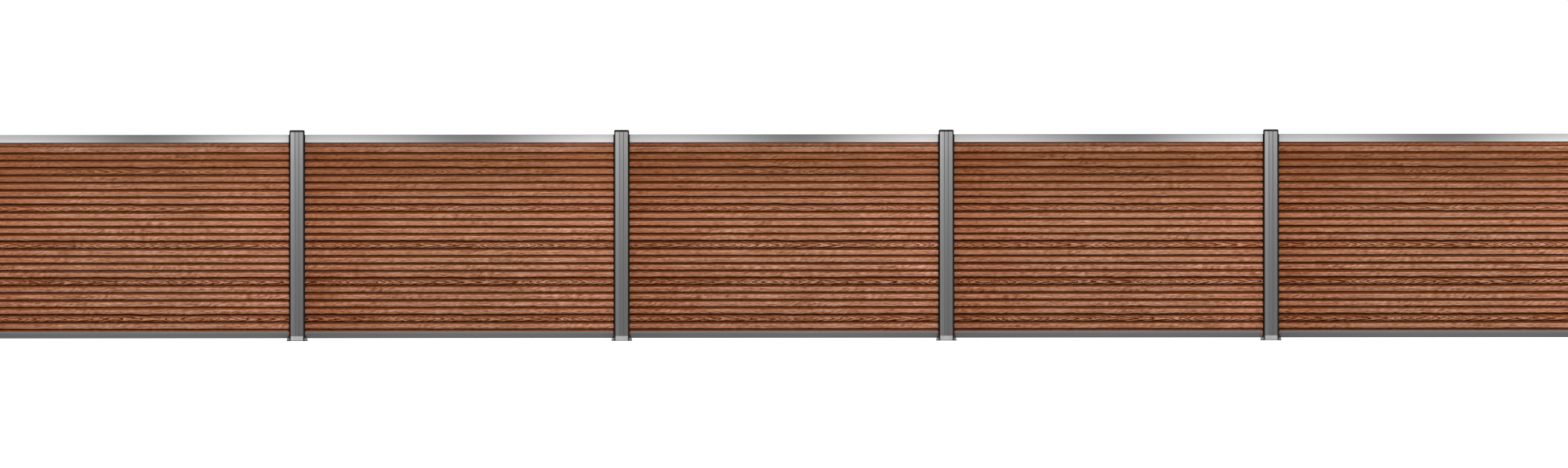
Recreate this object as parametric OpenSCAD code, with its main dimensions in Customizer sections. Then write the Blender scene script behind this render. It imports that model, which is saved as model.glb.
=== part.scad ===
// Composite fence: wood-composite boards slotted between aluminium posts that
// are bolted to the ground. Millimetres. X runs along the fence, the front
// faces -Y and Z is up. The origin is the middle of the underside of the first
// post's base, so the ground is z = 0.

/* [Fence] */
// Number of bays, one post more than this
bays = 5; // [1:1:5]
// Distance between post centres
post_pitch = 1840; // [900:10:2400]
// Height from the ground to the top of the post caps
fence_h = 1196; // [900:1:2000]
// How far the capped post rises above the top rail
post_rise = 26; // [20:1:60]

/* [Post] */
// Width of the post across the fence face
post_w = 84; // [76:1:110]
// Depth of the post over its two covers
post_d = 84; // [72:1:110]
// Wall thickness of the extrusion
post_wall = 2.5; // [2:0.1:3.5]
// Radius of the outer corners
post_corner_r = 1.5; // [1:0.1:3]
// Depth of the side channel
channel_depth = 26; // [20:1:28]

/* [Post cover] */
// Width of the post's edge that shows beside a cover
cover_edge = 7; // [5:0.5:10]
// Thickness of the cover strip
cover_t = 2.5; // [2:0.1:3.5]
// How far the cover stands proud of the post's edges
cover_proud = 1; // [0.5:0.1:2]
// Distance of each decorative groove from the cover's centre line
cover_groove_x = 11; // [8:0.5:18]
// Width of a decorative groove at the surface
cover_groove_w = 4; // [2:0.1:5]
// Depth of a decorative groove
cover_groove_depth = 1.5; // [0.5:0.1:1.7]
// Distance of each clip leg from the inner wall of its chamber
clip_inset = 9; // [5:0.5:13]
// Thickness of a clip leg
clip_t = 1.5; // [1.2:0.1:2]
// Width of the slot that a clip leg snaps into
clip_slot_w = 4; // [3.6:0.1:5]

/* [Post cap] */
// Height of the cap above the post
cap_h = 10.5; // [10:0.5:20]
// Radius of the cap's top edges
cap_edge_r = 8; // [3:0.5:9]
// Length of the plug inside the post
cap_plug_h = 18; // [10:1:30]
// Wall of the plug
cap_plug_wall = 2.5; // [2:0.1:4]

/* [Post base] */
// How far each foot reaches out from the post, under the rail
foot_reach = 13; // [11:0.5:20]
// How much further it reaches at the ground
foot_flare = 3.5; // [1:0.5:6]
// How far the base reaches out in front of and behind the post
toe_reach = 22; // [20:0.5:34]
// Height of the two feet, which carry the rails
foot_h = 16; // [13:1:24]
// Height of the sloping toes in front of and behind the post
toe_h = 28; // [20:1:34]
// Thickness of a toe at its top
toe_top_t = 3; // [2:0.5:5]
// Height of a toe at its outer edge
toe_edge_h = 4; // [2:0.5:8]
// Width of the slot between a toe and each foot
toe_slot_w = 4; // [2:0.5:6]
// Width of the V-shaped relief along the underside of a foot
relief_w = 14; // [8:1:18]
// Height of the relief
relief_h = 8; // [4:1:10]
// Thickness of the web that closes the relief under the post
relief_web = 20; // [10:1:60]
// Height of the spigot inside the post
spigot_h = 110; // [60:5:200]
// Wall of the spigot
spigot_wall = 5; // [3:0.5:7]

/* [Anchor holes] */
// Distance of a hole's centre from the post's side
anchor_out_x = 3; // [2:0.5:5]
// Distance of a hole's centre from the post's face
anchor_out_y = 12; // [11:0.5:15]
// Diameter of an anchor hole
anchor_hole_d = 9; // [7:0.5:10]

/* [Rails] */
// Width of a rail across the fence
rail_w = 40; // [36:1:50]
// Height of the top rail
top_rail_h = 44; // [32:1:70]
// Height of the bottom rail
bottom_rail_h = 40; // [30:1:70]
// Wall thickness of a rail
rail_wall = 2.2; // [1.5:0.1:3]
// Height of the sloping shoulder at the rail's mouth
rail_shoulder_h = 11; // [6:1:16]
// Gap between the top rail's end and the post
top_rail_end_gap = 4.5; // [4:0.5:10]
// Gap between the bottom rail's end and the post, beside the anchors
bottom_rail_end_gap = 9; // [5:0.5:10]
// Length of a drain slot in the bottom rail
drain_len = 30; // [15:1:60]
// Width of a drain slot
drain_w = 6; // [4:0.5:10]
// Distance of the outer drain slots from the bottom rail's ends
drain_inset = 150; // [60:10:400]

/* [Boards] */
// Height that one board covers
board_h = 208.5; // [150:0.5:240]
// Number of battens on each face of a board
battens = 5; // [3:1:6]
// Height of the recess between two battens
batten_gap = 14.7; // [12:0.1:20]
// Height of the lip under a board's first batten
lip_h = 9.2; // [8:0.1:11]
// Thickness of a board over its battens
board_t = 26; // [22:0.5:26]
// Thickness of a board between its battens
core_t = 12; // [10:0.5:14]
// Bevel along the edges of a batten
batten_bevel = 1; // [0.5:0.1:2]
// How much fuller a batten is in its middle than along its edges
batten_crown = 1.3; // [0.5:0.1:2.5]
// Wall around the hollow inside a batten
hollow_wall = 4; // [3:0.1:6]
// Thickness of the tongue along a board's upper edge
tongue_t = 3.4; // [2:0.1:4]
// Height of the tongue
tongue_h = 5.5; // [3:0.1:6]
// Gap left for expansion at each end of a board
expansion_gap = 2; // [1:0.5:6]
// Lowest height of the closing board under the top rail
top_board_min_h = 90; // [80:1:120]
// Height of the closing board's single batten
top_batten_h = 30.5; // [20:0.5:34]
// Height of the groove above that batten
top_groove_h = 2.5; // [1:0.5:5]
// Thickness of the closing board above the groove
top_flange_t = 23; // [14:0.5:26]

/* [Seals] */
// Thickness of a seal between a board and the channel's wall
seal_t = 3.4; // [2:0.1:5]
// How far the seal's lip stands out of the channel
seal_lip_out = 3.5; // [2:0.5:4.5]
// How far the seal reaches into the channel
seal_depth = 12; // [6:1:16]
// How far the lip covers the channel's edge
seal_overlap = 3; // [1:0.5:4]

/* [Hidden] */
$fn = 64;
// Clearance between pieces that slide or clip together
fit = 0.3;
// Overshoot of a cut
cut = 1;

post_count = bays + 1;
POST_KINDS = ["post", "post_covers", "post_cap", "post_base"];
BAY_KINDS = ["infill_boards", "top_rail", "bottom_rail", "panel_seals"];

// Heights
post_z0 = foot_h;
post_top = fence_h - cap_h;
rail_top = fence_h - post_rise;
board_z0 = foot_h + rail_wall + fit;
board_z1 = rail_top - rail_wall - fit;
full_boards = floor((board_z1 - board_z0 - top_board_min_h) / board_h);
top_board_z0 = board_z0 + full_boards * board_h;
top_board_h = board_z1 - top_board_z0;

// Post section
body_d = post_d - 2 * cover_proud;
cover_w = post_w - 2 * cover_edge;
channel_x0 = post_w / 2 - channel_depth;
channel_w = board_t + 2 * (seal_t + 2 * fit);
face_wall_y = post_d / 2 - cover_t - fit;
chamber_w = 2 * (channel_x0 - post_wall);
chamber_d = 2 * (face_wall_y - post_wall);
side_chamber_w = channel_depth - post_wall;
side_chamber_d = chamber_d / 2 - channel_w / 2 - post_wall;
clip_x = channel_x0 + clip_inset;

// Base
half_base = post_w / 2 + foot_reach;
base_depth = post_d + 2 * toe_reach;
anchor_x = post_w / 2 + anchor_out_x;
anchor_y = post_d / 2 + anchor_out_y;
spigot_w = chamber_w - 2 * fit;
spigot_d = chamber_d - 2 * fit;
toe_y0 = post_d / 2 + fit;
toe_land_y = toe_y0 + toe_top_t;

// Bay
board_x0 = channel_x0 + expansion_gap;
board_len = post_pitch - 2 * board_x0;
rail_mouth = board_t + 4 * fit;
batten_pitch = board_h / battens;
batten_h = batten_pitch - batten_gap;

// Extrudes a section drawn in (Y, Z) along +X.
module along_x(length) {
    rotate([90, 0, 90]) linear_extrude(length) children();
}

// Extrudes a section drawn in (X, Z) along Y, centred on the fence's plane.
module along_y(depth) {
    rotate([90, 0, 0]) linear_extrude(depth, center = true) children();
}

module both_faces() {
    children();
    mirror([0, 1, 0]) children();
}

module both_ends() {
    children();
    mirror([1, 0, 0]) children();
}

// The outline through the points of one half and their mirror images in x = 0.
module mirrored_outline(half) {
    polygon(concat(half, [for (i = [len(half) - 1:-1:0]) [-half[i].x, half[i].y]]));
}

// A rectangle centred on x = 0, from height y0 to y1, whose two long sides bulge
// to its full width in the middle.
module crowned_band(w, y0, y1, crown) {
    half_h = (y1 - y0) / 2;
    r = (half_h * half_h + crown * crown) / (2 * crown);
    intersection() {
        translate([-w / 2, y0]) square([w, 2 * half_h]);
        translate([w / 2 - r, y0 + half_h]) circle(r);
        translate([r - w / 2, y0 + half_h]) circle(r);
    }
}

module rounded_rect(w, d, r) {
    square([w - 2 * r, d], center = true);
    square([w, d - 2 * r], center = true);
    for (x = [-1, 1], y = [-1, 1])
        translate([x * (w / 2 - r), y * (d / 2 - r)]) circle(r);
}

// A rectangle on the X axis whose two upper corners are round.
module rounded_top(w, h, r) {
    translate([-w / 2, 0]) square([w, h - r]);
    translate([r - w / 2, 0]) square([w - 2 * r, h]);
    both_ends() translate([w / 2 - r, h - r]) intersection() {
        circle(r);
        square(r);
    }
}

// A rectangle centred on x = 0, from height y0 to y1, with bevelled corners.
module bevelled_band(w, y0, y1, bevel) {
    polygon([
        [-w / 2 + bevel, y0], [w / 2 - bevel, y0],
        [w / 2, y0 + bevel], [w / 2, y1 - bevel],
        [w / 2 - bevel, y1], [-w / 2 + bevel, y1],
        [-w / 2, y1 - bevel], [-w / 2, y0 + bevel]
    ]);
}

// ---- Post ----

module post_section() {
    difference() {
        rounded_rect(post_w, body_d, post_corner_r);
        square([chamber_w, chamber_d], center = true);
        both_ends() post_side_cuts();
        both_faces() post_face_cuts();
    }
}

// The board channel and the two chambers beside it.
module post_side_cuts() {
    translate([channel_x0, -channel_w / 2])
        square([channel_depth + cut, channel_w]);
    both_faces()
        translate([channel_x0, channel_w / 2 + post_wall])
            square([side_chamber_w, side_chamber_d]);
}

// The recess that takes the cover and the slots for its clip legs.
module post_face_cuts() {
    translate([-cover_w / 2 - fit, face_wall_y])
        square([cover_w + 2 * fit, post_d / 2]);
    both_ends()
        translate([clip_x - clip_slot_w / 2, face_wall_y - post_wall - cut])
            square([clip_slot_w, post_wall + 2 * cut]);
}

module post() {
    color([0.13, 0.13, 0.14])
        translate([0, 0, post_z0])
            linear_extrude(post_top - post_z0) post_section();
}

// ---- Post covers ----

// The strip with its grooves, and legs that pass the slots in the post's wall
// and end in a barb behind it.
module cover_section() {
    face_y = post_d / 2;
    back_y = face_y - cover_t;
    barb_y = face_wall_y - post_wall - fit;
    tip_y = barb_y - 2 * clip_t;
    leg_x0 = clip_x - clip_slot_w / 2 + fit;
    leg_x1 = leg_x0 + clip_t;
    barb_x = clip_x + clip_slot_w / 2 + fit;
    mirrored_outline([
        [cover_groove_x - cover_groove_w / 2, face_y],
        [cover_groove_x, face_y - cover_groove_depth],
        [cover_groove_x + cover_groove_w / 2, face_y],
        [cover_w / 2, face_y], [cover_w / 2, back_y],
        [leg_x1, back_y], [leg_x1, barb_y], [barb_x, barb_y],
        [leg_x1, tip_y], [leg_x0, tip_y], [leg_x0, back_y]
    ]);
}

// The strip that closes the unused channel of an end post.
module channel_closer_section() {
    w = channel_w - 2 * fit;
    leg = channel_depth / 2;
    difference() {
        translate([post_w / 2 - leg, -w / 2]) square([leg, w]);
        translate([post_w / 2 - leg - cut, cover_t - w / 2])
            square([leg + cut - cover_t, w - 2 * cover_t]);
    }
}

module cover_strip() {
    translate([0, 0, post_z0 + fit])
        linear_extrude(post_top - post_z0 - 2 * fit) children();
}

// closed_end is -1 or 1 where the channel on that side takes no boards.
module post_covers(closed_end) {
    color([0.68, 0.69, 0.70]) {
        cover_strip() both_faces() cover_section();
        if (closed_end == -1) cover_strip() mirror([1, 0]) channel_closer_section();
        if (closed_end == 1) cover_strip() channel_closer_section();
    }
}

// ---- Post cap ----

module post_cap() {
    color([0.09, 0.09, 0.10])
        translate([0, 0, post_top]) {
            intersection() {
                along_y(post_d) rounded_top(post_w, cap_h, cap_edge_r);
                translate([-post_w / 2, 0, 0])
                    along_x(post_w) rounded_top(post_d, cap_h, cap_edge_r);
            }
            translate([0, 0, -cap_plug_h])
                linear_extrude(cap_plug_h) box_ring(cap_plug_wall);
        }
}

// The rectangular ring that fills the post's middle chamber.
module box_ring(wall) {
    difference() {
        square([spigot_w, spigot_d], center = true);
        square([spigot_w - 2 * wall, spigot_d - 2 * wall], center = true);
    }
}

// ---- Post base ----

// The plate that both feet are part of, with its flared sides.
module foot_section() {
    polygon([
        [-half_base - foot_flare, 0], [half_base + foot_flare, 0],
        [half_base, foot_h], [-half_base, foot_h]
    ]);
}

// The reliefs under the two feet, which run in from both faces to a web.
module foot_reliefs() {
    depth = (base_depth - relief_web) / 2 + cut;
    for (x = [-1, 1]) both_faces()
        translate([x * anchor_x, (relief_web + depth) / 2, 0])
            along_y(depth) polygon([
                [-relief_w / 2, 0], [0, relief_h], [relief_w / 2, 0], [0, -cut]
            ]);
}

// The sloping toe in front of the post, drawn in (Y, Z).
module toe_section() {
    polygon([
        [toe_y0, 0], [base_depth / 2, 0], [base_depth / 2, toe_edge_h],
        [toe_land_y, toe_h], [toe_y0, toe_h]
    ]);
}

module post_base() {
    clear_w = cover_w + 2 * toe_slot_w;
    color([0.74, 0.75, 0.76]) {
        difference() {
            along_y(base_depth) foot_section();
            foot_reliefs();
            both_faces()
                translate([-clear_w / 2, toe_land_y, -cut])
                    cube([clear_w, base_depth, foot_h + 2 * cut]);
            for (x = [-1, 1], y = [-1, 1])
                translate([x * anchor_x, y * anchor_y, -cut])
                    cylinder(d = anchor_hole_d, h = foot_h + 2 * cut);
        }
        both_faces() translate([-cover_w / 2, 0, 0]) along_x(cover_w) toe_section();
        translate([0, 0, foot_h - spigot_wall])
            linear_extrude(spigot_h + spigot_wall) box_ring(spigot_wall);
    }
}

// ---- Rails ----

// A channel section that opens upwards, with shoulders that slope to its mouth.
module rail_section(height) {
    outer = rail_w / 2;
    mouth = rail_mouth / 2;
    shoulder_z = height - rail_shoulder_h;
    mirrored_outline([
        [outer, 0], [outer, shoulder_z], [mouth + rail_wall, height], [mouth, height],
        [mouth, height - rail_wall], [outer - rail_wall, shoulder_z - rail_wall / 2],
        [outer - rail_wall, rail_wall]
    ]);
}

// A rail between two posts, with the given gap at each end.
module rail(height, end_gap) {
    x0 = post_w / 2 + end_gap;
    translate([x0, 0, 0]) along_x(post_pitch - 2 * x0) rail_section(height);
}

// The holes that let rain out of the bottom rail: near each end and in the middle.
module drain_slots() {
    end_x = post_w / 2 + bottom_rail_end_gap + drain_inset;
    straight = drain_len - drain_w;
    for (x = [end_x, post_pitch / 2, post_pitch - end_x])
        translate([x, 0, -cut]) linear_extrude(rail_wall + 2 * cut) {
            square([straight, drain_w], center = true);
            both_ends() translate([straight / 2, 0]) circle(d = drain_w);
        }
}

module bottom_rail() {
    color([0.66, 0.67, 0.68])
        translate([0, 0, foot_h]) difference() {
            rail(bottom_rail_h, bottom_rail_end_gap);
            drain_slots();
        }
}

module top_rail() {
    color([0.66, 0.67, 0.68])
        translate([0, 0, rail_top]) mirror([0, 0, 1]) rail(top_rail_h, top_rail_end_gap);
}

// ---- Boards ----

// The slot under a board, over the tongue of the board below.
module tongue_slot() {
    slot_w = tongue_t + 2 * fit;
    translate([-slot_w / 2, -cut]) square([slot_w, cut + tongue_h + fit]);
}

module batten(y0, y1) {
    intersection() {
        crowned_band(board_t, y0, y1, batten_crown);
        bevelled_band(board_t, y0, y1, batten_bevel + batten_crown);
    }
}

module batten_hollow(y0, y1) {
    bevelled_band(board_t - 2 * hollow_wall, y0 + hollow_wall, y1 - hollow_wall,
                  hollow_wall / 2);
}

module board_section() {
    top = board_h - fit;
    difference() {
        union() {
            translate([-core_t / 2, 0]) square([core_t, top]);
            translate([-tongue_t / 2, 0]) square([tongue_t, top + tongue_h]);
            for (i = [0:battens - 1])
                batten(lip_h + i * batten_pitch,
                       lip_h + i * batten_pitch + batten_h);
        }
        tongue_slot();
        for (i = [0:battens - 1])
            batten_hollow(lip_h + i * batten_pitch,
                          lip_h + i * batten_pitch + batten_h);
    }
}

// The board that closes the panel: one batten, a groove and a plain flange.
module top_board_section() {
    batten_top = lip_h + top_batten_h;
    flange_z0 = batten_top + top_groove_h;
    difference() {
        union() {
            translate([-core_t / 2, 0]) square([core_t, top_board_h]);
            batten(lip_h, batten_top);
            bevelled_band(top_flange_t, flange_z0, top_board_h, batten_bevel);
        }
        tongue_slot();
        batten_hollow(lip_h, batten_top);
        bevelled_band(top_flange_t - 2 * hollow_wall, flange_z0 + hollow_wall,
                      top_board_h - hollow_wall, batten_bevel);
    }
}

module infill_boards() {
    color([0.53, 0.34, 0.24])
        translate([board_x0, 0, 0]) {
            for (i = [0:full_boards - 1])
                translate([0, 0, board_z0 + i * board_h])
                    along_x(board_len) board_section();
            translate([0, 0, top_board_z0]) along_x(board_len) top_board_section();
        }
}

// ---- Seals ----

// The strip between a board's face and the channel's wall, with a lip over the
// channel's edge, drawn in (X, Y).
module seal_section() {
    y0 = board_t / 2 + fit;
    translate([post_w / 2 - seal_depth, y0])
        square([seal_depth + seal_lip_out, seal_t]);
    translate([post_w / 2 + fit, y0])
        square([seal_lip_out - fit, seal_t + fit + seal_overlap]);
}

module panel_seals() {
    color([0.06, 0.06, 0.06])
        translate([0, 0, foot_h + fit])
            linear_extrude(rail_top - foot_h - fit) both_faces() {
                seal_section();
                translate([post_pitch, 0]) mirror([1, 0]) seal_section();
            }
}

// ---- Assembly ----

for (i = [1:post_count]) translate([(i - 1) * post_pitch, 0, 0]) {
    closed_end = i == 1 ? -1 : i == post_count ? 1 : 0;
    post();
    post_covers(closed_end);
    post_cap();
    post_base();
}

for (i = [1:bays]) translate([(i - 1) * post_pitch, 0, 0]) {
    infill_boards();
    top_rail();
    bottom_rail();
    panel_seals();
}
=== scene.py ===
"""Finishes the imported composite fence: embossed boards, anchors, materials, studio and camera.

Everything is in metres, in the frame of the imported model: X along the fence, the front faces -Y and Z is up.
"""

import math

import bmesh
import bpy
import numpy as np
from mathutils import Matrix, Vector


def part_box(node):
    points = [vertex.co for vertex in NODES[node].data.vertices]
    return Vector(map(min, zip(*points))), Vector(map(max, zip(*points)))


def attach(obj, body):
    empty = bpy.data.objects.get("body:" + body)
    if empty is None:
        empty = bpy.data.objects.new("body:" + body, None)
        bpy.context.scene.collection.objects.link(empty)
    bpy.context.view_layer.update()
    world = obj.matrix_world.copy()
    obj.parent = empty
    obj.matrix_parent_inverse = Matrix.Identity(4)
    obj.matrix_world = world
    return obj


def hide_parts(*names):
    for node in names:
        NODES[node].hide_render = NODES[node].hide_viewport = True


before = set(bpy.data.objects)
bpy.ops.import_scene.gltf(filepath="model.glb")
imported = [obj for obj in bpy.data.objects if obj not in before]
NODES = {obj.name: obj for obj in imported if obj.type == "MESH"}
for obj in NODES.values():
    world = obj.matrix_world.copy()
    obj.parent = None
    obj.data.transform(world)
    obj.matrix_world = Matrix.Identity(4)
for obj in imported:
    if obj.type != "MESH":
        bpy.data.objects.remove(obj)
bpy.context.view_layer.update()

POSTS = sum(name.startswith("post_base_") for name in NODES)
BAYS = POSTS - 1

# The boards' section, as in the part's source. A half is measured from the board's middle plane.
BOARD_H = 0.2085
BATTENS = 5
BATTEN_PITCH = BOARD_H / BATTENS
BATTEN_GAP = 0.0147
BATTEN_H = BATTEN_PITCH - BATTEN_GAP
LIP_H = 0.0092
TOP_BATTEN_H = 0.0305
TOP_GROOVE_H = 0.0025
HALF_BOARD = 0.013
HALF_CORE = 0.006
HALF_FLANGE = 0.0115
MIN_TOP_BOARD_H = 0.09

# The rest of the frame that the looks are laid out on. HIDDEN_END is how much of a board its post covers.
POST_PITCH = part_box("post_2")[0].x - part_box("post_1")[0].x
FENCE_LEN = POST_PITCH * BAYS
BOARD_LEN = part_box("infill_boards_1")[1].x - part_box("infill_boards_1")[0].x
HIDDEN_END = 0.0275
FENCE_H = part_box("post_cap_1")[1].z
CAP_FOOT = FENCE_H - 0.0105
FOOT_TOP = 0.016
ANCHOR_X = 0.045
ANCHOR_Y = 0.054


# ---- Noise ----

def smooth_noise(x, cell, seed):
    """Noise from -1 to 1 along x, with a random value every cell and smooth steps between them."""
    place = np.asarray(x) / cell
    base = np.floor(place).astype(int)
    first = int(base.min())
    knots = np.random.default_rng(seed).uniform(-1, 1, int(base.max()) - first + 2)
    step = place - base
    step = step * step * (3 - 2 * step)
    return knots[base - first] * (1 - step) + knots[base - first + 1] * step


# ---- Boards ----

# How far each batten's embossed edge wanders, and how high the painted shade line under it is, from the lowest
# up.
EDGE_WANDER = (0.5, 0.6, 0.7, 1.9, 0.8)
SHADE_LINE_H = (0.0058, 0.0058, 0.0058, 0.0088, 0.0058)
TOP_SHADE_LINE_H = 0.0040
CROWN = 0.0013
EDGE_BEVEL = 0.0010
ROUNDING = 0.0020
STEP = 0.0004
JOINT_BEVEL = 0.0012
BOARD_COLUMNS = 140

# The wander of a batten's two edges in metres, the dents in its face, and the length of each along the board.
LOWER_WANDER = 0.0012
LOWER_CELLS = (0.034, 0.085)
UPPER_WANDER = 0.0007
UPPER_CELL = 0.060
DENT_DEPTH = 0.0006
DENT_CELL = 0.045
DENT_BAND_H = 0.006
EDGE_SEED = 40
DENT_SEED = 900
BACK_EDGE_SEED = 500
BACK_DENT_SEED = 77

# The embossing's depth along a board: its least, where it is deepest and how far that spreads, as shares.
EMBOSS_LEAST = 0.35
EMBOSS_MIDDLE = 0.56
EMBOSS_SPREAD = 0.27


class Outline:
    """One face of a board from its lower edge to its upper one, as rows of a station's values."""

    FIELDS = ("z", "y", "low", "high", "recess", "line", "batten")

    def __init__(self):
        self.rows = []

    def add(self, z, y, low=0.0, high=0.0, recess=0.0, line=0.0, batten=0):
        """A station. low and high say how far the wander of a batten's lower and upper edge moves it. recess
        says how far it lies in a recess, and so how much of the recesses' painted shade it takes; line says
        how much of the painted shade line it takes.
        """
        self.rows.append((z, y, low, high, recess, line, batten))

    def add_batten(self, z0, z1, half, crown, batten, shade):
        """A proud batten from z0 to z1. shade is the height of the painted shade line under it. Its rounded
        edges take part of the recesses' painted shade.
        """
        mid, reach = (z0 + z1) / 2, (z1 - z0) / 2
        edge = half - crown - EDGE_BEVEL
        self.add(z0 - shade, HALF_CORE, low=0.9, recess=1.0, batten=batten)
        self.add(z0 - 0.62 * shade, HALF_CORE, low=1.0, recess=1.0, line=1.0, batten=batten)
        self.add(z0, HALF_CORE, low=1.0, recess=1.0, line=1.0, batten=batten)
        self.add(z0 + STEP, edge, low=1.0, recess=0.6, line=0.75, batten=batten)
        self.add(z0 + ROUNDING, half - 0.75 * crown, low=0.9, batten=batten)
        self.add(mid - reach / 2, half - 0.25 * crown, low=0.3, batten=batten)
        self.add(mid, half, batten=batten)
        self.add(mid + reach / 2, half - 0.25 * crown, high=0.3, batten=batten)
        self.add(z1 - ROUNDING, half - 0.75 * crown, high=0.9, recess=0.12, batten=batten)
        self.add(z1 - STEP, edge, high=1.0, recess=0.4, batten=batten)
        self.add(z1, HALF_CORE, high=1.0, recess=1.0, batten=batten)

    def columns(self):
        """The stations' values, by name, from the lowest up."""
        table = np.array(self.rows)
        return {name: table[:, i] for i, name in enumerate(self.FIELDS)}


def full_board_outline():
    """A whole board: its joint's lip, five battens and the edge that the next board stands on."""
    outline = Outline()
    outline.add(0.0, HALF_CORE - JOINT_BEVEL, recess=1.0, line=1.0)
    outline.add(JOINT_BEVEL, HALF_CORE, recess=1.0)
    for i in range(BATTENS):
        z0 = LIP_H + i * BATTEN_PITCH
        outline.add_batten(z0, z0 + BATTEN_H, HALF_BOARD, CROWN, i, SHADE_LINE_H[i])
    outline.add(BOARD_H - JOINT_BEVEL, HALF_CORE, recess=1.0, batten=BATTENS - 1)
    outline.add(BOARD_H, HALF_CORE - JOINT_BEVEL, recess=1.0, line=1.0, batten=BATTENS - 1)
    return outline.columns()


def top_board_outline(height):
    """The closing board: one batten, a groove and the flange that the top rail takes."""
    outline = Outline()
    outline.add(0.0, HALF_CORE - JOINT_BEVEL, recess=1.0, line=1.0)
    outline.add(JOINT_BEVEL, HALF_CORE, recess=1.0)
    batten_top = LIP_H + TOP_BATTEN_H
    outline.add_batten(LIP_H, batten_top, HALF_BOARD, CROWN / 2, 0, TOP_SHADE_LINE_H)
    flange = batten_top + TOP_GROOVE_H
    outline.add(batten_top + TOP_GROOVE_H / 2, HALF_CORE, recess=1.0, line=1.0)
    outline.add(flange, HALF_CORE, recess=1.0, line=1.0)
    # The groove and the flange's lower edge take the painted shade line, and the flange most of the recesses'
    # painted shade.
    shaded = 0.76
    outline.add(flange + STEP, HALF_FLANGE, recess=shaded, line=1.0)
    outline.add(flange + 0.0014, HALF_FLANGE, recess=shaded, line=0.8)
    outline.add(flange + 0.0030, HALF_FLANGE, recess=shaded)
    outline.add(height, HALF_FLANGE, recess=shaded)
    return outline.columns()


def emboss_strength(along, length):
    """The embossing is deepest a little past the middle of each board."""
    from_middle = (along / length - EMBOSS_MIDDLE) / EMBOSS_SPREAD
    return EMBOSS_LEAST + (1 - EMBOSS_LEAST) * np.exp(-(from_middle ** 2))


def face_points(outline, along, length, face):
    """The grid of points on one face: a row for each station, a column for each x.

    face is -1 for the front and 1 for the back, as Y is.
    """
    strength = emboss_strength(along, length)
    edge_seed = EDGE_SEED + (BACK_EDGE_SEED if face > 0 else 0)
    dent_seed = DENT_SEED + (BACK_DENT_SEED if face > 0 else 0)
    rows = []
    for row in range(len(outline["z"])):
        z, y, low, high, recess, _, batten = (outline[name][row] for name in Outline.FIELDS)
        seed = edge_seed + 7 * int(batten)
        fine, coarse = LOWER_CELLS
        lower = smooth_noise(along, fine, seed) * 0.5 + smooth_noise(along, coarse, seed + 1)
        upper = smooth_noise(along, UPPER_CELL, seed + 2)
        wander = EDGE_WANDER[int(batten)] * strength
        dents = np.abs(smooth_noise(along, DENT_CELL, dent_seed + int(z / DENT_BAND_H)))
        depth = DENT_DEPTH * dents * strength * (1.0 - recess)
        shift = (LOWER_WANDER * low * lower + UPPER_WANDER * high * upper) * wander
        rows.append(np.stack([along, face * (y - depth), z + shift], axis=-1))
    return np.array(rows)


def board_mesh(origin, length, outline, number):
    """One board's points, quads and end caps, with what the grain's material reads at each point."""
    along = np.linspace(0.0, length, BOARD_COLUMNS)
    front = face_points(outline, along, length, -1)
    back = face_points(outline, along, length, 1)[::-1]
    ring = np.concatenate([front, back])
    rows = len(ring)
    index = np.arange(rows * BOARD_COLUMNS).reshape(rows, BOARD_COLUMNS)
    above = np.roll(index, -1, axis=0)
    quads = np.stack([index[:, :-1], index[:, 1:], above[:, 1:], above[:, :-1]], axis=-1).reshape(-1, 4)
    both = {name: np.concatenate([outline[name], outline[name][::-1]]) for name in Outline.FIELDS}
    heights = np.repeat(both["z"], BOARD_COLUMNS)
    grain = np.stack([np.tile(along, rows), heights, np.full(rows * BOARD_COLUMNS, float(number))], axis=-1)
    return {
        "points": ring.reshape(-1, 3) + np.array(origin),
        "quads": quads,
        "ends": [list(index[:, 0]), list(index[::-1, -1])],
        "grain": grain,
        "recess": np.repeat(both["recess"], BOARD_COLUMNS),
        "line": np.repeat(both["line"], BOARD_COLUMNS),
        "profile": both,
    }


def spread(value, first, last):
    """Lays a share from 0 to 1 between two places on the bake's picture."""
    return first + (last - first) * value


# Where a texture bake's picture holds the boards' sides and their two ends, across, and all of them, up.
BAKE_SIDES = (0.02, 0.98)
BAKE_ENDS = ((0.002, 0.012), (0.988, 0.998))
BAKE_UP = (0.005, 0.995)


def bake_map(mesh, parts):
    """Lays the boards out flat for a texture bake, with x across and the way round each section up.

    The boards' ends lie beside them.
    """
    rounds = []
    for part in parts:
        profile = np.stack([part["profile"]["y"], part["profile"]["z"]], axis=-1)
        half = len(profile) // 2
        profile[half:, 0] *= -1
        steps = np.linalg.norm(np.diff(np.vstack([profile, profile[:1]]), axis=0), axis=1)
        rounds.append(np.concatenate([[0.0], np.cumsum(steps)]))
    total = sum(walk[-1] for walk in rounds)
    values = []
    below = 0.0
    columns = spread(np.linspace(0, 1, BOARD_COLUMNS), *BAKE_SIDES)
    for part, walk in zip(parts, rounds):
        up = spread((below + walk) / total, *BAKE_UP)
        rows = len(walk) - 1
        left, right = np.tile(columns[:-1], (rows, 1)), np.tile(columns[1:], (rows, 1))
        low = np.repeat(up[:-1, None], BOARD_COLUMNS - 1, axis=1)
        high = np.repeat(up[1:, None], BOARD_COLUMNS - 1, axis=1)
        corners = [(left, low), (right, low), (right, high), (left, high)]
        values.append(np.stack([np.stack(c, axis=-1) for c in corners], axis=2).reshape(-1, 2))
        height = part["profile"]["z"].max()
        for end, place in zip(part["ends"], BAKE_ENDS):
            points = part["points"][end]
            u = spread((points[:, 1] / HALF_BOARD + 1) / 2, *place)
            risen = walk[-1] * (points[:, 2] - points[:, 2].min()) / height
            v = spread((below + risen) / total, *BAKE_UP)
            values.append(np.stack([u, v], axis=-1))
        below += walk[-1]
    layer = mesh.uv_layers.new(name="OFBake")
    layer.uv.foreach_set("vector", np.concatenate(values).astype(np.float32).ravel())


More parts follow.
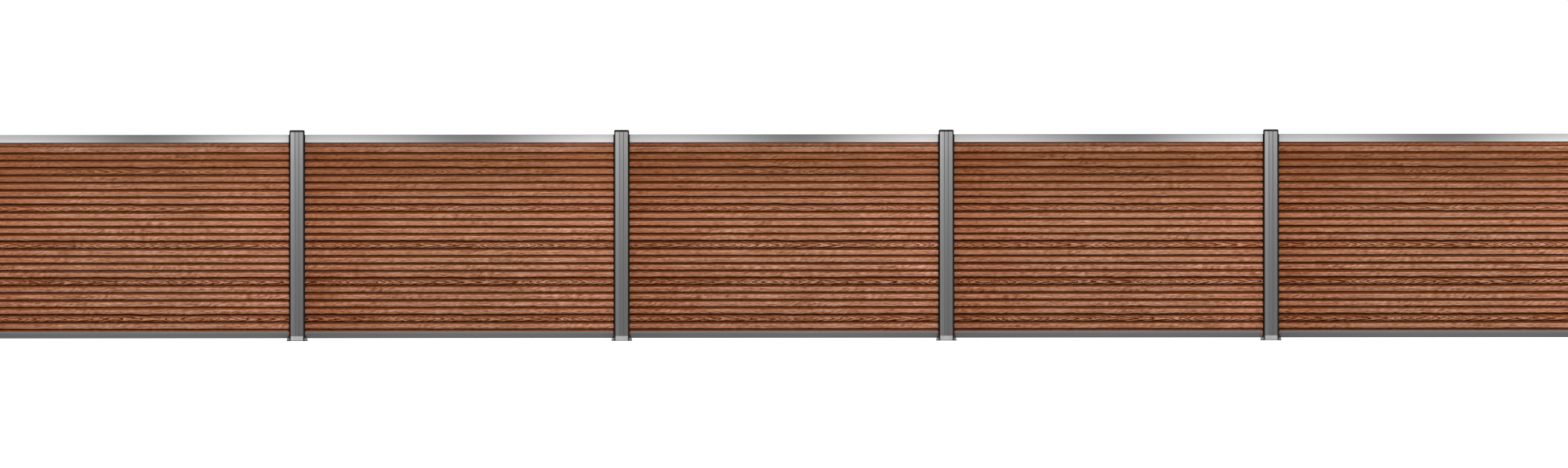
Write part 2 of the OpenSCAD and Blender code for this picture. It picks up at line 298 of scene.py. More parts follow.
def make_boards(bay):
    """All the boards of one bay as one mesh, with the same embossing on each, as a roller leaves it."""
    node = f"infill_boards_{bay}"
    low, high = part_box(node)
    length = high.x - low.x
    full = int((high.z - low.z - MIN_TOP_BOARD_H) / BOARD_H)
    parts = [
        board_mesh((low.x, 0, low.z + i * BOARD_H), length, full_board_outline(), i)
        for i in range(full)
    ]
    top_z = low.z + full * BOARD_H
    parts.append(board_mesh((low.x, 0, top_z), length, top_board_outline(high.z - top_z), full))

    faces = []
    count = 0
    for part in parts:
        faces += (part["quads"] + count).tolist()
        faces += [[vertex + count for vertex in end] for end in part["ends"]]
        count += len(part["points"])
    mesh = bpy.data.meshes.new(f"composite_boards_{bay}")
    mesh.from_pydata(np.concatenate([part["points"] for part in parts]).tolist(), [], faces)
    for name, kind, key in (
        ("grain", "FLOAT_VECTOR", "vector"), ("recess", "FLOAT", "value"), ("line", "FLOAT", "value"),
    ):
        data = np.concatenate([part[name] for part in parts]).astype(np.float32)
        mesh.attributes.new(name, kind, "POINT")
        mesh.attributes[name].data.foreach_set(key, data.ravel())
    bake_map(mesh, parts)
    mesh.shade_smooth()
    mesh.set_sharp_from_angle(angle=math.radians(38))
    piece = bpy.data.objects.new(mesh.name, mesh)
    bpy.context.scene.collection.objects.link(piece)
    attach(piece, "root")
    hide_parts(node)
    return piece


# ---- Anchors ----

# M8 studs with a nut. Heights are above the base's foot, and the washer's section is radii and heights.
WASHER = [(0.0082, 0.0), (0.0082, 0.0011), (0.0078, 0.0015), (0.0040, 0.0015)]
NUT_Z = (0.0015, 0.0080)
NUT_R = 0.0075
STUD_R = 0.0039
STUD_TOP = 0.0130
NUT_CHAMFER = 0.0005
THREAD_PITCH = 0.00125
THREAD_DEPTH = 0.0005


def add_lathe(mesh, profile, segments):
    """A surface turned about Z from (radius, height) points, closed by a cap at its last point."""
    rings = []
    for radius, z in profile:
        angles = [2 * math.pi * i / segments for i in range(segments)]
        rings.append([mesh.verts.new((radius * math.cos(a), radius * math.sin(a), z)) for a in angles])
    for lower, upper in zip(rings, rings[1:]):
        for i in range(segments):
            j = (i + 1) % segments
            mesh.faces.new((lower[i], lower[j], upper[j], upper[i]))
    mesh.faces.new(list(reversed(rings[0])))
    mesh.faces.new(rings[-1])


def stud_profile():
    """A threaded rod with a chamfered end."""
    profile = []
    z = NUT_Z[1] - THREAD_PITCH
    while z < STUD_TOP - THREAD_PITCH:
        profile += [(STUD_R - THREAD_DEPTH, z), (STUD_R, z + THREAD_PITCH / 2)]
        z += THREAD_PITCH
    return profile + [(STUD_R - THREAD_DEPTH, z), (STUD_R - 0.0012, STUD_TOP)]


def add_anchor(mesh, place, turn):
    """A washer, a nut with chamfered corners and the stud's end."""
    one = bmesh.new()
    add_lathe(one, WASHER, 32)
    low, high = NUT_Z
    nut = [
        (NUT_R * 0.92, low), (NUT_R, low + NUT_CHAMFER),
        (NUT_R, high - NUT_CHAMFER), (NUT_R * 0.90, high),
    ]
    add_lathe(one, nut, 6)
    add_lathe(one, stud_profile(), 20)
    one.transform(Matrix.Translation(place) @ Matrix.Rotation(turn, 4, "Z"))
    scratch = bpy.data.meshes.new("scratch")
    one.to_mesh(scratch)
    one.free()
    mesh.from_mesh(scratch)
    bpy.data.meshes.remove(scratch)


def make_anchors(post):
    """The four anchors that hold one post's base to the ground, each nut turned its own way."""
    joined = bmesh.new()
    for side in (-1, 1):
        for face in (-1, 1):
            place = Vector(((post - 1) * POST_PITCH + side * ANCHOR_X, face * ANCHOR_Y, FOOT_TOP))
            add_anchor(joined, place, turn=0.7 * post + 1.3 * side + 0.4 * face)
    mesh = bpy.data.meshes.new(f"anchors_{post}")
    joined.to_mesh(mesh)
    joined.free()
    mesh.shade_smooth()
    mesh.set_sharp_from_angle(angle=math.radians(25))
    piece = bpy.data.objects.new(mesh.name, mesh)
    bpy.context.scene.collection.objects.link(piece)
    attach(piece, "root")
    return piece


# ---- Material graphs ----

class Graph:
    """A material's nodes, written as calls. A value is a number, a tuple or another node's output."""

    def __init__(self, name):
        self.material = bpy.data.materials.new(name)
        self.material.use_nodes = True
        self.tree = self.material.node_tree
        self.shader = self.tree.nodes["Principled BSDF"]

    def node(self, kind, inputs=None, output=0, **settings):
        """Adds a node with its inputs and settings, and returns one of its outputs."""
        made = self.tree.nodes.new("ShaderNode" + kind)
        for key, value in settings.items():
            setattr(made, key, value)
        for key, value in (inputs or {}).items():
            self.put(made.inputs[key], value)
        return made.outputs[output]

    def put(self, socket, value):
        """Links a node's output to the socket, or gives the socket a number or a colour."""
        if isinstance(value, bpy.types.NodeSocket):
            self.tree.links.new(value, socket)
        elif socket.type == "RGBA":
            socket.default_value = (*value[:3], 1.0)
        else:
            socket.default_value = value

    def math(self, operation, a, b=0.0):
        return self.node("Math", {0: a, 1: b}, operation=operation)

    def add(self, a, b):
        return self.math("ADD", a, b)

    def sub(self, a, b):
        return self.math("SUBTRACT", a, b)

    def mul(self, a, b):
        return self.math("MULTIPLY", a, b)

    def div(self, a, b):
        return self.math("DIVIDE", a, b)

    def attribute(self, name, output):
        made = self.tree.nodes.new("ShaderNodeAttribute")
        made.attribute_name = name
        return made.outputs[output]

    def vector(self, x, y, z=0.0):
        return self.node("CombineXYZ", {0: x, 1: y, 2: z})

    def split(self, vector):
        made = self.tree.nodes.new("ShaderNodeSeparateXYZ")
        self.tree.links.new(vector, made.inputs[0])
        return made.outputs

    def noise(self, vector, scale=1.0, detail=2.0, roughness=0.5):
        inputs = {"Vector": vector, "Scale": scale, "Detail": detail, "Roughness": roughness}
        return self.node("TexNoise", inputs)

    def ramp(self, value, stops, interpolation="LINEAR"):
        """A colour ramp. Each stop is a place and a colour, or a place and a grey value."""
        made = self.tree.nodes.new("ShaderNodeValToRGB")
        band = made.color_ramp
        band.interpolation = interpolation
        while len(band.elements) < len(stops):
            band.elements.new(0.5)
        for element, (place, colour) in zip(band.elements, stops):
            element.position = place
            is_grey = isinstance(colour, (int, float))
            element.color = (colour, colour, colour, 1.0) if is_grey else (*colour, 1.0)
        self.put(made.inputs[0], value)
        return made.outputs[0]

    def smooth(self, value, low, high, to_low=0.0, to_high=1.0):
        """Goes smoothly from to_low to to_high as the value goes from low to high."""
        inputs = {"Value": value, 1: low, 2: high, 3: to_low, 4: to_high}
        return self.node("MapRange", inputs, interpolation_type="SMOOTHSTEP")

    def mix(self, factor, a, b, blend="MIX"):
        made = self.tree.nodes.new("ShaderNodeMix")
        made.data_type = "RGBA"
        made.blend_type = blend
        for socket, value in ((made.inputs[0], factor), (made.inputs[6], a), (made.inputs[7], b)):
            self.put(socket, value)
        return made.outputs[2]

    def place(self):
        """The point's coordinates in the frame."""
        return self.split(self.node("TexCoord", output=3))

    def bump(self, height, strength, distance):
        inputs = {"Height": height, "Strength": strength, "Distance": distance}
        self.put(self.shader.inputs["Normal"], self.node("Bump", inputs))

    def set(self, **values):
        """Sets the shader's sockets by name, with _ for a space, and returns the material."""
        for key, value in values.items():
            self.put(self.shader.inputs[key.replace("_", " ")], value)
        return self.material


# ---- Materials ----

# A rail's painted reflection along a bay, and the painted light and shade that its height in the rail makes of
# it: lighter on the top rail's lower shoulder and darker at the bottom rail's foot. The top rail's table ends
# with the upper face.
TOP_REFLECTION_ALONG_BAY = [
    (0.02, 0.39), (0.15, 0.46), (0.36, 0.275), (0.54, 0.105), (0.70, 0.285), (0.90, 0.56), (0.98, 0.48),
]
TOP_LIGHT_AND_SHADE = [(0.0, 1.45), (0.24, 1.40), (0.27, 1.05), (0.985, 0.82), (1.0, 0.50)]
BOTTOM_REFLECTION_ALONG_BAY = [(0.02, 0.093), (0.20, 0.107), (0.50, 0.116), (0.80, 0.110), (0.98, 0.102)]
BOTTOM_LIGHT_AND_SHADE = [(0.0, 0.55), (0.10, 0.90), (0.72, 1.0), (0.74, 0.75)]

# A cover's painted reflection from the ground up and across its width, darker low down and lighter towards -X,
# and where its two grooves lie.
COVER_REFLECTION_UP = [(0.0, 0.104), (0.35, 0.122), (0.62, 0.168), (0.85, 0.228), (0.97, 0.290)]
COVER_REFLECTION_ACROSS = [(0.05, 1.25), (0.34, 1.08), (0.42, 0.93), (0.95, 0.92)]
COVER_W = 0.070
GROOVE_X = 0.011

# The base's tones, the slot's being painted shade, and how far from its middle the toe and the slot beside it
# end.
TOE_TONE = 0.25
SLOT_SHADE_TONE = 0.02
FOOT_TONE = 0.18
TOE_END = (0.0348, 0.0352)
SLOT_END = (0.0420, 0.0440)

# Wood tones from the darkest streak to the palest, then those of the arches' lines and of the halo around
# them, then the painted shade of the recesses, of the line under each batten and of the recesses' ends beside
# a post.
WOOD_TONES = [
    (0.16, (0.190, 0.070, 0.030)), (0.36, (0.300, 0.130, 0.068)), (0.52, (0.382, 0.178, 0.100)),
    (0.68, (0.440, 0.222, 0.138)), (0.86, (0.530, 0.300, 0.205)),
]
MIDDLE_TONE = 0.53
RING_TONE = (0.060, 0.010, 0.001)
HALO_TONE = (0.240, 0.075, 0.016)
RECESS_SHADE_TONE = (0.134, 0.031, 0.004)
SHADE_LINE_TONE = (0.034, 0.0025, 0.0)
CORNER_SHADE_TONE = (0.004, 0.001, 0.0005)
# The boards' painted shade from the ground up, as a share of the fence's height, and along a bay: darker and
# warmer towards the top and towards the -X end of each bay. The uppermost board's proud face has a lift of its
# own, which takes back part of that shade.
HEIGHT_SHADE = [
    (0.00, (0.96, 0.95, 0.93)), (0.16, (0.98, 0.96, 0.94)), (0.29, (0.96, 0.96, 0.97)),
    (0.45, (1.04, 1.05, 1.06)), (0.61, (1.05, 1.03, 1.02)), (0.71, (0.92, 0.87, 0.82)),
    (0.79, (0.77, 0.70, 0.61)), (0.92, (0.66, 0.53, 0.40)),
]
BAY_SHADE = [
    (0.03, (0.83, 0.72, 0.63)), (0.12, (0.90, 0.80, 0.74)), (0.32, (0.99, 0.98, 0.97)),
    (0.65, (1.01, 1.01, 1.01)), (0.92, (1.12, 1.08, 1.11)),
]
TOP_BOARD_SHADE_LIFT = (1.33, 1.56, 1.93)

# The arched grain: how long the pattern is, where its eye lies in it and how far it moves at each board.
ARCH_PERIOD = 1.04
ARCH_EYE = 0.21
ARCH_SHIFT = 0.237
RINGS_BEFORE = 4.4  # these two differ by a whole number, so that the pattern repeats without a step
RINGS_AFTER = 11.4
RINGS_TO_A_METRE = 18.0  # along the board, roughly
# The rings beside the batten's middle: how many to half a batten, how they crowd and how flat the first is.
RINGS_ACROSS = 1.3
ARM_POWER = 1.2
ARM_CORE = 0.2
RING_HALF_WIDTH = (0.0015, 0.0032)
HALO_STRENGTH = 0.50
MIDDLE_BATTEN_Z = LIP_H + 2 * BATTEN_PITCH + BATTEN_H / 2
RING_CRINKLE = 0.8
# Where the arches fade, in half battens from the middle one's middle: beside it, and past its neighbours.
BESIDE_MIDDLE = (1.05, 1.7)
PAST_NEIGHBOURS = (3.9, 5.5)
FAINT_ARCHES = 0.14
# They also show on the next batten's lower edge: where that begins and ends, in metres above the same middle.
NEXT_EDGE_FROM = (0.020, 0.024)
NEXT_EDGE_TO = (0.030, 0.036)
# The upper boards show them only around the middle of the bay, here as shares of this length.
UPPER_ARCHES = [(0.05, 0.15), (0.40, 1.0), (0.60, 1.0), (0.90, 0.25)]
UPPER_ARCHES_LEN = 1.8

# The grain's patterns: cells to a metre along a board and up it. The fibre's second number is to a ring.
WARP_CELLS = (7.0, 30.0)
CRINKLE_CELLS = (38.0, 110.0)
SWELL_CELLS = (22.0, 60.0)
DASH_CELLS = (15.0, 95.0)
PORE_CELLS = (30.0, 230.0)
FIBRE_CELLS = (13.0, 1.9)
STREAK_CELLS = (4.5, 210.0)
BLOTCH_CELLS = (5.5, 22.0)
# How far the warp moves the arches and the grain up and down, in metres.
ARCH_WARP = 0.010
GRAIN_WARP = 0.014
# How much each pattern changes the wood's tone.
PORE_WEIGHT = 1.6
FIBRE_WEIGHT = 0.55
STREAK_WEIGHT = 0.85
BLOTCH_WEIGHT = 0.40
# The pores' lines rise and fall along a board: a wave's length in metres, and its height in cells.
SLANT_PERIOD = 0.9
SLANT_REACH = 5.0


def grain_noise(g, along, up, key, cells, detail=2.0, roughness=0.5):
    """Noise drawn out along a board. The key sets it apart from other boards and patterns."""
    return g.noise(g.vector(g.mul(along, cells[0]), g.mul(up, cells[1]), key), 1.0, detail, roughness)


def ring_count(g, distance, rings, power, core):
    """Rings crossed between the eye and a distance from 0 to 1.

    The core keeps the innermost ones long and flat.
    """
    start = core ** power
    full = (1 + core * core) ** (power / 2)
    reach = g.math("POWER", g.add(g.mul(distance, distance), core * core), power / 2)
    return g.mul(g.sub(reach, start), rings / (full - start))


def arch_lines(g, u, v, row, warp, crinkle):
    """Growth rings cut flat along the middle batten, at a place u metres along a board and v metres up it.

    Returns the ring number at a point, its distance from the batten's middle in half battens, and how far
    it lies on a dark line and in the halo around one.
    """
    place = g.math("FRACT", g.div(g.add(u, g.mul(row, ARCH_SHIFT)), ARCH_PERIOD))
    past_eye = g.sub(place, ARCH_EYE)
    after = g.div(g.math("MAXIMUM", past_eye, 0.0), 1 - ARCH_EYE)
    before = g.div(g.math("MAXIMUM", g.mul(past_eye, -1.0), 0.0), ARCH_EYE)
    along = g.add(
        ring_count(g, after, RINGS_AFTER, 0.45, 0.06),
        ring_count(g, before, RINGS_BEFORE, 1.0, 0.25),
    )

    from_middle = g.math("ABSOLUTE", g.sub(g.add(v, g.mul(warp, ARCH_WARP)), MIDDLE_BATTEN_Z))
    share = g.div(from_middle, BATTEN_H / 2)
    cored = g.add(g.mul(share, share), ARM_CORE ** 2)
    reach = g.math("POWER", cored, ARM_POWER / 2)
    arms = g.mul(g.sub(reach, ARM_CORE ** ARM_POWER), RINGS_ACROSS)
    rings = g.add(g.add(along, arms), g.mul(crinkle, RING_CRINKLE))

    # The rings' density in each direction turns a share of a ring into metres, so that lines keep one width.
    slope = g.mul(share, g.math("POWER", cored, ARM_POWER / 2 - 1))
    across = g.mul(slope, RINGS_ACROSS * ARM_POWER / (BATTEN_H / 2))
    density = g.math("SQRT", g.add(g.mul(across, across), RINGS_TO_A_METRE ** 2))
    from_line = g.div(g.math("ABSOLUTE", g.sub(g.math("FRACT", rings), 0.5)), density)
    swell = grain_noise(g, u, v, row, SWELL_CELLS, 1.0)
    half_width = g.mul(g.smooth(swell, 0.35, 0.72, *RING_HALF_WIDTH), g.add(1.0, g.mul(after, 0.5)))
    lines = g.sub(1.0, g.smooth(g.div(from_line, half_width), 0.5, 1.1))
    halo = g.sub(1.0, g.smooth(g.div(from_line, half_width), 0.8, 2.4))

    # Short dark dashes where the rings lie far apart.
    dash = grain_noise(g, u, v, g.add(row, 5.0), DASH_CELLS, 1.0)
    dashes = g.mul(g.smooth(dash, 0.64, 0.72, 0.0, 0.85), g.smooth(after, 0.2, 0.4))
    return rings, share, g.math("MAXIMUM", lines, dashes), halo


def arch_presence(g, u, v, board, share, recess):
    """How strong the arches are: full on the middle batten, faint beside it, weaker on the upper boards."""
    middle_only = g.math("MAXIMUM", g.smooth(board, 3.0, 4.0), g.smooth(share, 4.0, 5.5, 0.0, 1.0))
    presence = g.mix(middle_only, (1.0, 1.0, 1.0), g.ramp(g.div(u, UPPER_ARCHES_LEN), UPPER_ARCHES))
    presence = g.mul(presence, g.smooth(board, 1.0, 4.0, 1.0, 0.60))
    above = g.sub(v, MIDDLE_BATTEN_Z)
    next_edge = g.mul(g.smooth(above, *NEXT_EDGE_FROM), g.smooth(above, *NEXT_EDGE_TO, 0.7, 0.0))
    side = g.math("MAXIMUM", g.smooth(share, *BESIDE_MIDDLE, 1.0, FAINT_ARCHES), next_edge)
    presence = g.mul(presence, g.mul(side, g.smooth(share, *PAST_NEIGHBOURS, 1.0, 0.0)))
    return g.mul(presence, g.sub(1.0, recess))


def weigh(g, pattern, weight):
    """A pattern's share of the wood's tone, darker and paler in equal parts."""
    return g.mul(g.sub(pattern, 0.5), weight)


def composite_material():
    """Warm brown composite, embossed as flat-sawn wood: arches on the middle batten, long lines beside it."""
    g = Graph("composite_wood")
    u, v, board = g.split(g.attribute("grain", "Vector"))
    recess = g.attribute("recess", "Fac")
    line = g.attribute("line", "Fac")
    proud = g.sub(1.0, recess)
    bay = g.math("FLOOR", g.div(g.place()[0], POST_PITCH))
    row = g.add(board, g.mul(bay, 7.0))

    # Wandering coordinates, so that no line of the grain is straight.
    warp = g.sub(grain_noise(g, u, v, row, WARP_CELLS), 0.5)
    crinkle = g.sub(grain_noise(g, u, v, row, CRINKLE_CELLS), 0.5)
    grain_v = g.add(v, g.mul(warp, GRAIN_WARP))

    rings, share, ring_line, halo = arch_lines(g, u, v, row, warp, crinkle)
    presence = arch_presence(g, u, v, board, share, recess)
    arches = g.mul(ring_line, presence)

    # Fine pores along waving lines, broad growth rings, long streaks and slow changes of tone.
    turn = g.add(g.add(g.div(u, SLANT_PERIOD), g.mul(row, 0.31)), g.mul(v, 4.0))
    slant = g.mul(g.math("COSINE", g.mul(turn, 2 * math.pi)), SLANT_REACH)
    slanted_v = g.add(grain_v, g.div(slant, PORE_CELLS[1]))
    pores = grain_noise(g, u, slanted_v, row, PORE_CELLS, 2.0, 0.62)
    fibre = grain_noise(g, u, rings, g.add(row, 13.0), FIBRE_CELLS, 3.0, 0.6)
    streak = grain_noise(g, u, grain_v, g.add(row, 31.0), STREAK_CELLS, 1.0)
    blotch = grain_noise(g, u, v, g.add(row, 67.0), BLOTCH_CELLS)
    grain = g.add(weigh(g, pores, PORE_WEIGHT), weigh(g, fibre, FIBRE_WEIGHT))
    grain = g.add(grain, weigh(g, streak, STREAK_WEIGHT))
    grain = g.mul(grain, g.smooth(board, 1.0, 3.0, 1.40, 1.0))
    tone = g.add(grain, weigh(g, blotch, BLOTCH_WEIGHT))
    tone = g.sub(tone, g.smooth(share, *PAST_NEIGHBOURS, 0.0, 0.05))

    # The colours: the wood itself and its arches, then painted shade in the recesses, under each batten and in
    # the recesses' ends beside a post, then painted shade by height and along the bay.
    base = g.ramp(g.add(tone, MIDDLE_TONE), WOOD_TONES)
    base = g.mix(g.mul(g.mul(halo, presence), HALO_STRENGTH), base, HALO_TONE)
    base = g.mix(arches, base, RING_TONE)
    base = g.mix(g.mul(recess, g.smooth(pores, 0.3, 0.7, 0.98, 0.84)), base, RECESS_SHADE_TONE)
    level = g.div(g.place()[2], FENCE_H)
    # Painted shade line under each batten, fainter towards the top of the fence.
    base = g.mix(g.mul(line, g.smooth(level, 0.5, 0.95, 0.98, 0.72)), base, SHADE_LINE_TONE)
    # Painted shade in the recesses' ends beside each post.
    from_end = g.math("MINIMUM", u, g.sub(BOARD_LEN, u))
    corner_shade = g.smooth(from_end, HIDDEN_END, HIDDEN_END + 0.008, 0.85, 0.0)
    base = g.mix(g.mul(corner_shade, recess), base, CORNER_SHADE_TONE)
    # Painted shade by height over the proud faces and along each bay over everything, lifted again on the
    # uppermost board's proud face.
    base = g.mix(proud, base, g.ramp(level, HEIGHT_SHADE), "MULTIPLY")
    base = g.mix(1.0, base, g.ramp(along_bay(g), BAY_SHADE), "MULTIPLY")
    base = g.mix(g.mul(proud, g.smooth(board, 4.4, 4.6)), base, TOP_BOARD_SHADE_LIFT, "MULTIPLY")

    relief = g.add(g.mul(pores, 0.6), g.mul(streak, 0.6))
    g.bump(g.sub(relief, g.mul(arches, 0.9)), 0.8, 0.0018)
    rough = g.smooth(pores, 0.3, 0.7, 0.80, 0.64)
    return g.set(Base_Color=base, Roughness=rough, Specular_IOR_Level=0.025)


def along_bay(g):
    """How far the point is through its bay, from 0 at one post's centre to 1 at the next."""
    return g.math("FRACT", g.div(g.place()[0], POST_PITCH))


def from_post(g):
    """How far the point lies along X from the nearest post's centre line."""
    share = g.math("FRACT", g.add(g.div(g.place()[0], POST_PITCH), 0.5))
    return g.mul(g.sub(share, 0.5), POST_PITCH)


def drawn_lines(g, across, along):
    """Faint lines that extrusion leaves along a profile."""
    return g.noise(g.vector(g.mul(along, 2.0), g.mul(across, 900.0)), 1.0, 3.0, 0.6)


def grey(g, tone):
    """Aluminium's grey, a little cooler than neutral."""
    return g.vector(tone, tone, g.mul(tone, 1.01))


def rail_material(node, reflection_along_bay, light_and_shade, roughness):
    """Satin anodised aluminium, with a painted reflection along a bay and painted light and shade by height in
    the rail.
    """
    g = Graph(node + "_aluminium")
    low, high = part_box(node + "_1")
    x, y, z = g.place()
    lines = drawn_lines(g, g.add(z, g.mul(y, 1.7)), x)
    tone = g.ramp(along_bay(g), reflection_along_bay, "B_SPLINE")
    tone = g.mul(tone, g.ramp(g.div(g.sub(z, low.z), high.z - low.z), light_and_shade))
    tone = g.mul(tone, g.smooth(lines, 0.3, 0.7, 0.94, 1.05))
    g.bump(lines, 0.12, 0.0004)
    rough = g.smooth(lines, 0.3, 0.7, roughness + 0.04, roughness - 0.04)
    return g.set(Base_Color=grey(g, tone), Metallic=0.5, Roughness=rough)


def cover_material():
    """Satin anodised aluminium with a painted reflection, darker towards the ground and lighter towards -X,
    painted shade in its grooves and a painted shadow right under the cap.
    """
    g = Graph("cover_aluminium")
    x, y, z = g.place()
    lines = drawn_lines(g, g.add(x, g.mul(y, 1.7)), z)
    reflection_up = g.ramp(g.div(z, FENCE_H), COVER_REFLECTION_UP, "B_SPLINE")
    offset = from_post(g)
    from_groove = g.math("ABSOLUTE", g.sub(g.math("ABSOLUTE", offset), GROOVE_X))
    in_groove = g.sub(1.0, g.smooth(from_groove, 0.0012, 0.0026))
    across = g.ramp(g.add(g.div(offset, COVER_W), 0.5), COVER_REFLECTION_ACROSS)
    tone = g.mul(g.mul(reflection_up, across), g.smooth(lines, 0.3, 0.7, 0.93, 1.06))
    # Painted shade in the grooves, strongest near the top, and a painted shadow right under the cap.
    tone = g.mul(tone, g.sub(1.0, g.mul(in_groove, g.smooth(z, 0.35, 1.15, -0.12, 0.56))))
    tone = g.mul(tone, g.smooth(z, CAP_FOOT - 0.0026, CAP_FOOT - 0.0008, 1.0, 0.35))
    g.bump(lines, 0.12, 0.0004)
    rough = g.smooth(lines, 0.3, 0.7, 0.50, 0.42)
    return g.set(Base_Color=grey(g, tone), Metallic=0.5, Roughness=rough)


def cast_material():
    """Blasted aluminium casting: pale on its toe and grey on its feet, with painted shade nearly black in the
    slots beside the toe and on the feet's inner edges, and a little painted shade along the ground.
    """
    g = Graph("cast_aluminium")
    place = g.node("TexCoord", output=3)
    pits = g.noise(place, 900.0, 3.0, 0.6)
    patches = g.noise(place, 45.0, 2.0)
    offset = g.math("ABSOLUTE", from_post(g))
    # Painted shade over the lowest few millimetres, next to the ground.
    ground_shade = g.smooth(g.place()[2], 0.002, 0.009, 0.80, 1.0)
    part = g.mix(g.smooth(offset, *TOE_END), (TOE_TONE,) * 3, (SLOT_SHADE_TONE,) * 3)
    part = g.mix(g.smooth(offset, *SLOT_END), part, (FOOT_TONE,) * 3)
    tone = g.mul(g.mul(g.smooth(patches, 0.3, 0.7, 0.92, 1.08), ground_shade), part)
    g.bump(pits, 0.25, 0.0006)
    rough = g.smooth(pits, 0.3, 0.7, 0.76, 0.64)
    return g.set(Base_Color=g.vector(tone, tone, tone), Metallic=0.25, Roughness=rough)


def coated_material():
    """Black-brown powder coat: a fine orange-peel texture."""
    g = Graph("dark_coat")
    place = g.node("TexCoord", output=3)
    peel = g.noise(place, 1400.0, 2.0, 0.5)
    tone = g.smooth(g.noise(place, 30.0, 2.0), 0.3, 0.7, 0.006, 0.010)
    g.bump(peel, 0.2, 0.0003)
    rough = g.smooth(peel, 0.3, 0.7, 0.66, 0.54)
    colour = g.vector(g.mul(tone, 1.6), tone, g.mul(tone, 0.7))
    return g.set(Base_Color=colour, Roughness=rough, Specular_IOR_Level=0.10)


def moulded_material(name, low, high, grain):
    """Dark moulded plastic or rubber with a fine grained surface."""
    g = Graph(name)
    place = g.node("TexCoord", output=3)
    spots = g.noise(place, grain, 2.0, 0.6)
    tone = g.smooth(g.noise(place, 60.0, 2.0), 0.3, 0.7, low, high)
    g.bump(spots, 0.3, 0.0003)
    rough = g.smooth(spots, 0.3, 0.7, 0.72, 0.58)
    return g.set(Base_Color=g.vector(tone, tone, tone), Roughness=rough, Specular_IOR_Level=0.12)


def anchor_material():
    """Black zinc-plated steel."""
    g = Graph("black_steel")
    place = g.node("TexCoord", output=3)
    wear = g.noise(place, 500.0, 3.0)
    tone = g.smooth(wear, 0.35, 0.75, 0.010, 0.030)
    g.bump(wear, 0.15, 0.0003)
    return g.set(Base_Color=g.vector(tone, tone, tone), Metallic=0.6, Roughness=0.42)


def dress(piece, material):
    """Gives a piece or a CAD node one material."""
    piece.data.materials.clear()
    piece.data.materials.append(material)


def dress_nodes():
    """Finishes every CAD node that stays, by its kind."""
    by_kind = {
        "post": coated_material(),
        "post_covers": cover_material(),
        "post_cap": moulded_material("cap_plastic", 0.006, 0.010, 1600.0),
        "post_base": cast_material(),
        "top_rail": rail_material("top_rail", TOP_REFLECTION_ALONG_BAY, TOP_LIGHT_AND_SHADE, 0.45),
        "bottom_rail": rail_material("bottom_rail", BOTTOM_REFLECTION_ALONG_BAY, BOTTOM_LIGHT_AND_SHADE, 0.66),
        "panel_seals": moulded_material("seal_rubber", 0.004, 0.007, 2200.0),
    }
    for name, node in NODES.items():
        kind = name.rsplit("_", 1)[0]
        if kind in by_kind:
            dress(node, by_kind[kind])


# ---- Studio ----

# The light from all around: its strength from low and from high, and the directions' Z at which it is that.
SKY_RANGE = (-0.6, 0.9)
SKY_STRENGTH = (0.14, 0.55)
FLOOR_SIZE = 160
FLOOR_GREY = 0.35
FLOOR_GLOW = 0.75
LAMP_SIZE = math.radians(11)
LAMP_AWAY = 9.0


def background_rays(tree):
    """1 for the rays that see the background as it is: the camera's, and reflected and refracted ones."""
    ray = tree.nodes.new("ShaderNodeLightPath")
    rays = None
    for name in ("Is Camera Ray", "Is Glossy Ray", "Is Transmission Ray"):
        if rays is None:
            rays = ray.outputs[name]
            continue
        either = tree.nodes.new("ShaderNodeMath")
        either.operation = "MAXIMUM"
        tree.links.new(rays, either.inputs[0])
        tree.links.new(ray.outputs[name], either.inputs[1])
        rays = either.outputs[0]
    return rays


def make_world():
    """A pale studio: white wherever it is seen, and softer from below as light."""
    world = bpy.data.worlds.new("studio")
    bpy.context.scene.world = world
    world.use_nodes = True
    tree = world.node_tree
    tree.nodes.clear()
    add, link = tree.nodes.new, tree.links.new
    coord, split, ramp = add("ShaderNodeTexCoord"), add("ShaderNodeSeparateXYZ"), add("ShaderNodeMapRange")
    soft, white = add("ShaderNodeBackground"), add("ShaderNodeBackground")
    mix, out = add("ShaderNodeMixShader"), add("ShaderNodeOutputWorld")
    link(coord.outputs["Generated"], split.inputs[0])
    link(split.outputs["Z"], ramp.inputs["Value"])
    for socket, value in zip(ramp.inputs[1:5], SKY_RANGE + SKY_STRENGTH):
        socket.default_value = value
    link(ramp.outputs[0], soft.inputs["Strength"])
    soft.inputs["Color"].default_value = (1.0, 1.0, 1.0, 1.0)
    white.inputs["Color"].default_value = (1.0, 1.0, 1.0, 1.0)
    link(background_rays(tree), mix.inputs[0])
    link(soft.outputs[0], mix.inputs[1])
    link(white.outputs[0], mix.inputs[2])
    link(mix.outputs[0], out.inputs["Surface"])


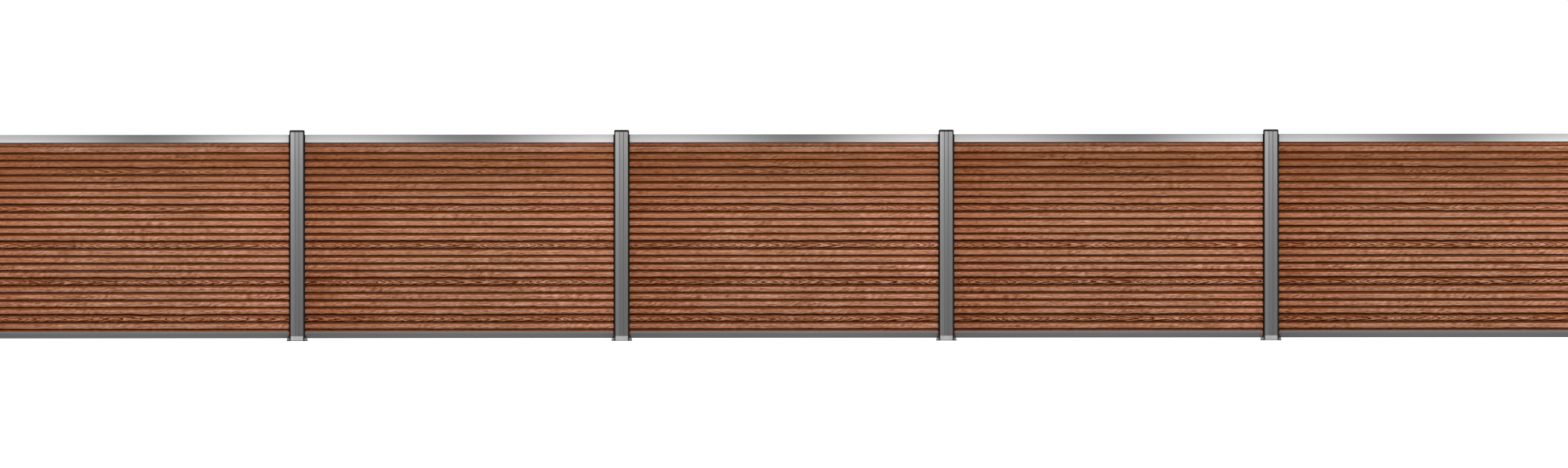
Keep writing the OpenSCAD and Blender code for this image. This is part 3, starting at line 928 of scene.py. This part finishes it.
def make_floor():
    """A pale floor that only just shows the contact shadows."""
    bpy.ops.mesh.primitive_plane_add(size=1.0, location=(FENCE_LEN / 2, 0, 0))
    floor = bpy.context.object
    floor.name = "studio_floor"
    floor.scale = (FLOOR_SIZE, FLOOR_SIZE, 1)
    material = bpy.data.materials.new("studio_floor")
    material.use_nodes = True
    tree = material.node_tree
    tree.nodes.clear()
    add, link = tree.nodes.new, tree.links.new
    matt, glow = add("ShaderNodeBsdfDiffuse"), add("ShaderNodeEmission")
    both, mix, out = add("ShaderNodeAddShader"), add("ShaderNodeMixShader"), add("ShaderNodeOutputMaterial")
    matt.inputs["Color"].default_value = (FLOOR_GREY, FLOOR_GREY, FLOOR_GREY, 1)
    glow.inputs["Strength"].default_value = FLOOR_GLOW
    link(matt.outputs[0], both.inputs[0])
    link(glow.outputs[0], both.inputs[1])
    link(background_rays(tree), mix.inputs[0])
    link(matt.outputs[0], mix.inputs[1])
    link(both.outputs[0], mix.inputs[2])
    link(mix.outputs[0], out.inputs["Surface"])
    floor.data.materials.append(material)


def add_lamp(name, strength, heading, height):
    """A broad, distant lamp, by where it shines in degrees from +Y towards +X, and its height in degrees."""
    data = bpy.data.lights.new(name, "SUN")
    data.energy = strength
    data.angle = LAMP_SIZE
    turn, rise = math.radians(heading), math.radians(height)
    direction = Vector((math.sin(turn) * math.cos(rise), math.cos(turn) * math.cos(rise), -math.sin(rise)))
    lamp = bpy.data.objects.new(name, data)
    lamp.rotation_euler = direction.to_track_quat("-Z", "Y").to_euler()
    lamp.location = Vector((FENCE_LEN / 2, 0, 0)) - LAMP_AWAY * direction
    bpy.context.scene.collection.objects.link(lamp)


def make_lights():
    """A key in front, high enough for the battens to shade the recesses, and a weaker lamp for the back."""
    add_lamp("key", 3.5, -10, 51)
    add_lamp("back", 1.8, 168, 42)


# How many bays wide the picture is, the height that its middle looks at, and how far it leans.
BAYS_SEEN = 4.831
EYE_Z = 0.605
ROLL = math.radians(0.0485)
LENS = 300
SENSOR = 36


def make_camera():
    """A long lens square to the fence, as a flat elevation is drawn."""
    width = BAYS_SEEN * POST_PITCH
    data = bpy.data.cameras.new("camera")
    data.lens = LENS
    data.sensor_width = SENSOR
    data.sensor_fit = "HORIZONTAL"
    distance = width * data.lens / data.sensor_width
    data.clip_start, data.clip_end = 1.0, 400.0
    camera = bpy.data.objects.new("camera", data)
    camera.location = (FENCE_LEN / 2, -distance, EYE_Z)
    camera.rotation_euler = (math.pi / 2, ROLL, 0)
    bpy.context.scene.collection.objects.link(camera)
    bpy.context.scene.camera = camera


def make_studio():
    """The camera, the background, the floor and the lamps."""
    make_camera()
    make_world()
    make_floor()
    make_lights()
    bpy.context.scene.view_settings.view_transform = "Standard"


make_studio()
dress_nodes()
wood = composite_material()
for bay in range(1, BAYS + 1):
    dress(make_boards(bay), wood)
steel = anchor_material()
for post in range(1, POSTS + 1):
    dress(make_anchors(post), steel)
